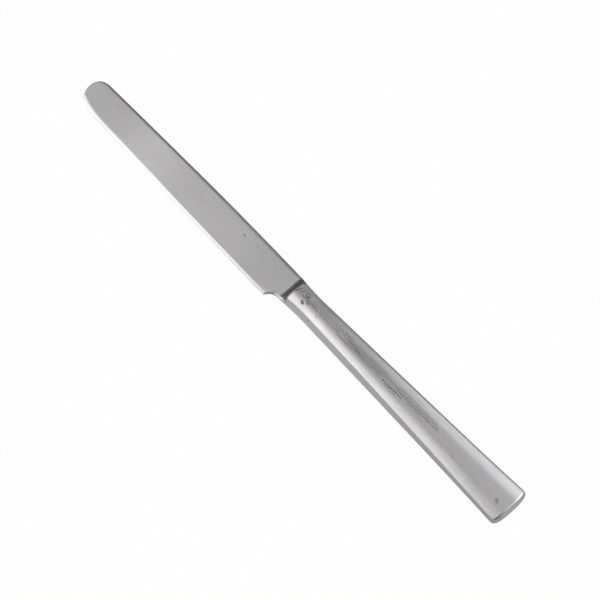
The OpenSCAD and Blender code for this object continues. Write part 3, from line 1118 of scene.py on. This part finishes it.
# The window beyond the cutting edge, the other walls, the light behind the butt, then the small
# changes that the blade mirrors.
PANELS = (
    Panel(1.75, (Rise(Way.SLANT, 0, 0.36), Rise(Way.ALONG, 0.14, 0.21),
                 Rise(Way.ASIDE, 0.45, 0.65, 1, 0.5), Rise(Way.ALONG, 0.24, 0.28, 1, 0.8))),
    Panel(-0.25, (Rise(Way.BACK, 0.5, 0.9), Rise(Way.UP, 0.28, 0.46, 1, 0))),
    Panel(-0.25, (Rise(Way.ALONG, 0.55, 0.8),)),
    Panel(-0.5, (Rise(Way.AWAY, 0.2, 0.5), Rise(Way.ASIDE, -0.1, 0.35))),
    Panel(1.1, (Rise(Way.BACK, 0.21, 0.8), Rise(Way.ALONG, 0.17, 0.25, 1, 0),
                Rise(Way.UP, 0.28, 0.46))),
    Panel(1.1, (Rise(Way.AWAY, 0, 0.35), Rise(Way.LIFT, 0.42, 0.56),
                Rise(Way.ASIDE, -0.6, -0.1, 1, 0))),
    Panel(-0.14, (Rise(Way.ALONG, 0.2, 0.27),)),
    Panel(-0.06, (Rise(Way.ALONG, 0.275, 0.3),)),
    Panel(0.2, (Rise(Way.ALONG, 0.3, 0.34),)),
    Panel(0.3, (Rise(Way.ALONG, 0.34, 0.37), Rise(Way.ALONG, 0.38, 0.41, 1, 0))),
    Panel(-0.08, (Rise(Way.ALONG, 0.385, 0.41),)),
)


@dataclass
class SoftBox:
    """One area lamp that faces a point."""

    name: str
    place: tuple
    target: tuple
    size: tuple
    radiance: float

    def build(self) -> Piece:
        """Returns the lamp."""
        data = bpy.data.lights.new(self.name, "AREA")
        data.shape, data.size, data.size_y = "RECTANGLE", *self.size
        data.energy = self.radiance * math.pi * self.size[0] * self.size[1]
        lamp = bpy.data.objects.new(self.name, data)
        bpy.context.scene.collection.objects.link(lamp)
        lamp.location = self.place
        ray = Vector(self.target) - Vector(self.place)
        lamp.rotation_euler = ray.to_track_quat("-Z", "Y").to_euler()
        return lamp


@dataclass
class Studio:
    """Pale floor, soft light and the camera of the photograph."""

    azimuth: float = 227.57
    elevation: float = 66
    distance: float = 735.6 * MM
    lens: float = 120
    target: tuple = (0, 0, 4 * MM)
    image_centre: tuple = (290.54, 289.63)
    image_size: float = 600
    boxes: Sequence[SoftBox] = (
        SoftBox("box_over_edge", (0.42, 0.48, 0.8), (0, 0, 0), (0.7, 0.5), 0.15),
    )
    sensor: float = 36
    clip: tuple = (0.01, 20)
    room: float = 0.69
    least: float = 0.27
    dark_wall: float = 0.6
    dark_wall_always: float = 0.13
    slant_bend: tuple = (0.28, 0.17, 2.35)
    slant_fold: tuple = (0.21, 6)
    lift_bend: tuple = (0.27, 0.6)
    floor_size: float = 8
    floor_shown: float = 0.98
    floor_glossy: float = 0.75
    floor_colour: float = 0.6

    def floor(self) -> Piece:
        """Returns the pale floor, which stays white to the eye but keeps the shadow."""
        clear_selection()
        bpy.ops.mesh.primitive_grid_add(x_subdivisions=4, y_subdivisions=4, size=self.floor_size,
                                        location=(0, 0, 0))
        floor = bpy.context.object
        floor.name = "floor"
        material = bpy.data.materials.new("pale_floor")
        net = empty_net(material)
        rays = net.node("ShaderNodeLightPath")
        camera, glossy, through = (
            Signal(net, rays.outputs[f"Is {kind} Ray"]) for kind in ("Camera", "Glossy", "Transmission"))
        where = net.value("ShaderNodeTexCoord", output="Object")
        ways = {Way.ALONG: net.coordinate(where, 0), Way.ASIDE: net.coordinate(where, 1)}
        # For the rays that the steel mirrors, the floor glows with painted shade and painted light in
        # place of its own shading.
        painted_floor_glow = bounded(ways, FLOOR_LEVEL) * (1 - bounded(ways, FLOOR_SHADE))
        painted_floor_glow = painted_floor_glow + bounded(ways, FLOOR_BUTT)
        strength = camera + (1 - camera) * painted_floor_glow
        seen = (camera * self.floor_shown).highest(glossy.highest(through) * self.floor_glossy)
        cloth = net.value("ShaderNodeBsdfDiffuse", NOTHING, {"Color": (*(self.floor_colour,) * 3, 1)})
        white = net.value("ShaderNodeEmission", NOTHING, {"Color": (1, 1, 1, 1), "Strength": strength})
        both = net.value("ShaderNodeMixShader", NOTHING, {0: seen, 1: cloth, 2: white})
        net.end(both)
        floor.data.materials.append(material)
        return floor

    def sky(self, net: Net) -> Signal:
        """Returns the light of each direction: a soft room with a window and a dark wall."""
        where = net.value("ShaderNodeTexCoord", output="Generated")
        x, y, z = (net.coordinate(where, axis) for axis in range(3))
        flat_from, pivot, bend = self.slant_bend
        fold_from, fold = self.slant_fold
        lift_from, lift = self.lift_bend
        slant = y + (x.math("MINIMUM", flat_from) - pivot) * bend - (fold_from - x).highest(0) * fold
        back = y * -1
        ways = {Way.ALONG: x, Way.AWAY: x * -1, Way.ASIDE: y, Way.BACK: back, Way.UP: z,
                Way.SLANT: slant, Way.LIFT: z + (back - lift_from).highest(0) * lift}
        dark = bounded(ways, DARK_WALL)
        level = self.room - dark * self.dark_wall
        for panel in PANELS:
            level = level + bounded(ways, panel.rises) * panel.gain
        return level.highest(self.least) - dark * self.dark_wall_always

    def world(self) -> None:
        """Lights the scene from all sides and shows white to the camera."""
        world = bpy.data.worlds.new("studio")
        bpy.context.scene.world = world
        net = empty_net(world)
        rays = net.node("ShaderNodeLightPath")
        level = self.sky(net)
        level = level + (1 - level) * Signal(net, rays.outputs["Is Camera Ray"])
        sky = net.value("ShaderNodeBackground", NOTHING, {"Color": (1, 1, 1, 1), "Strength": level})
        net.end(sky, "ShaderNodeOutputWorld")

    def camera(self) -> Piece:
        """Returns the camera, set as the scene's own."""
        data = bpy.data.cameras.new("camera")
        data.lens, data.sensor_width = self.lens, self.sensor
        data.shift_x = (self.image_size / 2 - self.image_centre[0]) / self.image_size
        data.shift_y = (self.image_centre[1] - self.image_size / 2) / self.image_size
        data.clip_start, data.clip_end = self.clip
        camera = bpy.data.objects.new("camera", data)
        bpy.context.scene.collection.objects.link(camera)
        a, e = math.radians(self.azimuth), math.radians(self.elevation)
        back = Vector((math.sin(a) * math.cos(e), -math.cos(a) * math.cos(e), math.sin(e)))
        camera.location = Vector(self.target) + back * self.distance
        camera.rotation_euler = (-back).to_track_quat("-Z", "Y").to_euler()
        bpy.context.scene.camera = camera
        return camera

    def build(self) -> None:
        """Sets up the floor, the lights, the camera and the view transform."""
        self.floor()
        self.world()
        for box in self.boxes:
            box.build()
        self.camera()
        bpy.context.scene.view_settings.view_transform = "Standard"


# Soft dull patches first, four of them bands of painted shade on the cutting edge's side towards the
# butt, then smudges, pits and scratches; places and widths are in millimetres.
HANDLE_MARKS = tuple(Mark(*values) for values in (
    (-30, -0.6, -47, -0.8, 1.9, 0, 0.27), (-41, -1.4, -49, -1.7, 1.8, 0, 0.2),
    (-24, -0.9, -36, -0.9, 1, 0, 0.1), (-5, -2.8, -7.6, -2.8, 1.2, 0, 0.3),
    # Painted shade: these four soft bands on the cutting edge's side towards the butt dim the crown's
    # reflection.
    (-74, 2.4, -86, 3.2, 2, 0, 0.04), (-82, 2.9, -94, 3.9, 2.2, 0, 0.08),
    (-90, 3.6, -102, 4.5, 2.4, 0, 0.12), (-97, 4.1, -114, 5.4, 2.5, 0, 0.16),
    (-44, -0.8, -72, -1, 1.1, 0, 0.14), (-5.6, -0.8, -9.6, -0.9, 0.45, 1, 0.4),
    (-9.6, -1, -12.6, -0.9, 0.4, 1, 0.3), (-7.3, -1.5, -7.7, -1.7, 0.6, 2.5, 0.8),
    (-6.1, -2.2, -6.6, -1.1, 0.35, 1.5, 0.5), (-7.5, 1, -8.1, 1.4, 0.7, 2, 0.75),
    (-9.2, 0.2, -9.7, 0.1, 0.4, 1.5, 0.6), (-8.5, -0.5, -9.3, -0.7, 0.4, 1.5, 0.5),
    (-2.9, -0.4, -3.6, -3.4, 0.35, 1, 0.5), (-4.1, -0.7, -4.6, -3.2, 0.25, 1, 0.4),
    (-9.7, -0.5, -14.2, -0.6, 0.3, 1, 0.35), (-15, -0.5, -19.5, -0.6, 0.28, 1, 0.35),
    (-19.9, -0.5, -24.7, -0.6, 0.28, 1, 0.35), (-26.8, -2.3, -30.6, -2.3, 0.22, 1.5, 0.5),
    (-29.9, -1.1, -35.9, -1.2, 0.45, 1, 0.4), (-33.7, -0.4, -36.6, -0.5, 0.3, 2, 0.6),
    (-25.2, 0.3, -30.8, 0.3, 0.25, 1.5, 0.5), (-36.3, -0.1, -42.6, -0.1, 0.4, 1, 0.35),
    (-15.5, 1.1, -15.7, 1.5, 0.3, 1, 0.3), (-14, 3.9, -14.2, 4, 0.3, 1, 0.4),
    (-48.9, 0.2, -58.7, 0.2, 0.36, 3, 0.9), (-50.5, 0.9, -54, 0.9, 0.25, 1, 0.35),
    (-54.4, 1.1, -56.6, 1.1, 0.25, 1, 0.4), (-44, -0.9, -50.6, -0.9, 0.3, 1, 0.3),
    (-46.9, -1.6, -56.1, -1.7, 0.4, 1, 0.3), (-54.3, -0.8, -75.7, -0.7, 0.28, 1.5, 0.5),
    (-55, -1.5, -76, -1.5, 0.25, 1.2, 0.4), (-61.6, 0, -68.2, 0, 0.25, 1, 0.35),
    (-56, -2.3, -74.5, -2.3, 0.25, 1, 0.3), (-74.5, -2, -76.4, -0.6, 0.22, 1, 0.35),
    (-67.9, 0.8, -70.4, 0.8, 0.22, 1, 0.3), (-86.6, 1.9, -87.3, 1.9, 0.35, 0.8, 0.3),
    (-108.7, 1.5, -109.4, 2.1, 0.8, 0.6, 0.4), (-109.6, 2.3, -110, 3, 0.4, 0.4, 0.25),
    (-111.2, 2.9, -112.2, 3.8, 0.5, 0.3, 0.15)))
BLADE_MARKS = (Mark(27.7, -2.3, 27.4, -2.1, 0.45, 0.8, 0.4), Mark(5.0, 8.3, 3.3, 5.4, 0.75, 0, 0.3))
# A painted reflection brightens the blade's face about 77 mm along; painted shade darkens it near the
# heel and faintly about 104 mm along.
BLADE_PAINTED_REFLECTIONS = (PaintedReflection(77, 20, 0.14), PaintedReflection(9, 24, -0.09), PaintedReflection(104, 12, -0.03))
# How far the ramp's painted shade reaches beyond its foot and head along X, and across from the axis.
RAMP_SHADE_SPILL = 0.4 * MM
RAMP_SHADE_WIDTH = 5 * MM


def main() -> None:
    """Builds the pieces in order and sets up the studio."""
    logging.basicConfig(level=logging.INFO, format="%(message)s")
    shell_low, shell_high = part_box("handle_shell_upper")
    _, blade_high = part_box("blade")
    handle = HandleShape(mouth_x=shell_high[0], butt_x=shell_low[0],
                         axis_y=(shell_low[1] + shell_high[1]) / 2)
    before_blade = JOINT_GAP + BladeShape.collar_len + BladeShape.ramp_len
    blade = BladeShape(handle, foot_x=handle.mouth_x + before_blade, tip_x=blade_high[0])
    # The blade's colour carries painted shade on the ramp and painted reflection and shade along its
    # face.
    blade_steel = SteelFinish(
        "satin_blade_steel", "blade_steel", handle, brush_depth=0.00012 * MM, marks=BLADE_MARKS,
        painted_reflections=BLADE_PAINTED_REFLECTIONS, ramp_shade_from=blade.foot_x - blade.ramp_len - RAMP_SHADE_SPILL,
        ramp_shade_to=blade.foot_x + RAMP_SHADE_SPILL, ramp_shade_side=handle.axis_y + RAMP_SHADE_WIDTH)
    upper_steel = SteelFinish("worn_handle_steel", "handle_steel", handle, marks=HANDLE_MARKS)
    pieces = (
        Blade(blade, blade_steel),
        HandleShell(handle, Side.UPPER, upper_steel),
        HandleShell(handle, Side.LOWER, SteelFinish("worn_underside_steel", "handle_steel", handle)),
        SeamWeld(handle, SteelFinish("ground_weld_steel", "weld_steel", handle, roughness=0.36)),
        Filling(),
    )
    for piece in pieces:
        made = piece.build()
        LOG.info("%s: %d faces", made.name, len(made.data.polygons))
    Studio().build()


if __name__ == "__main__":
    main()
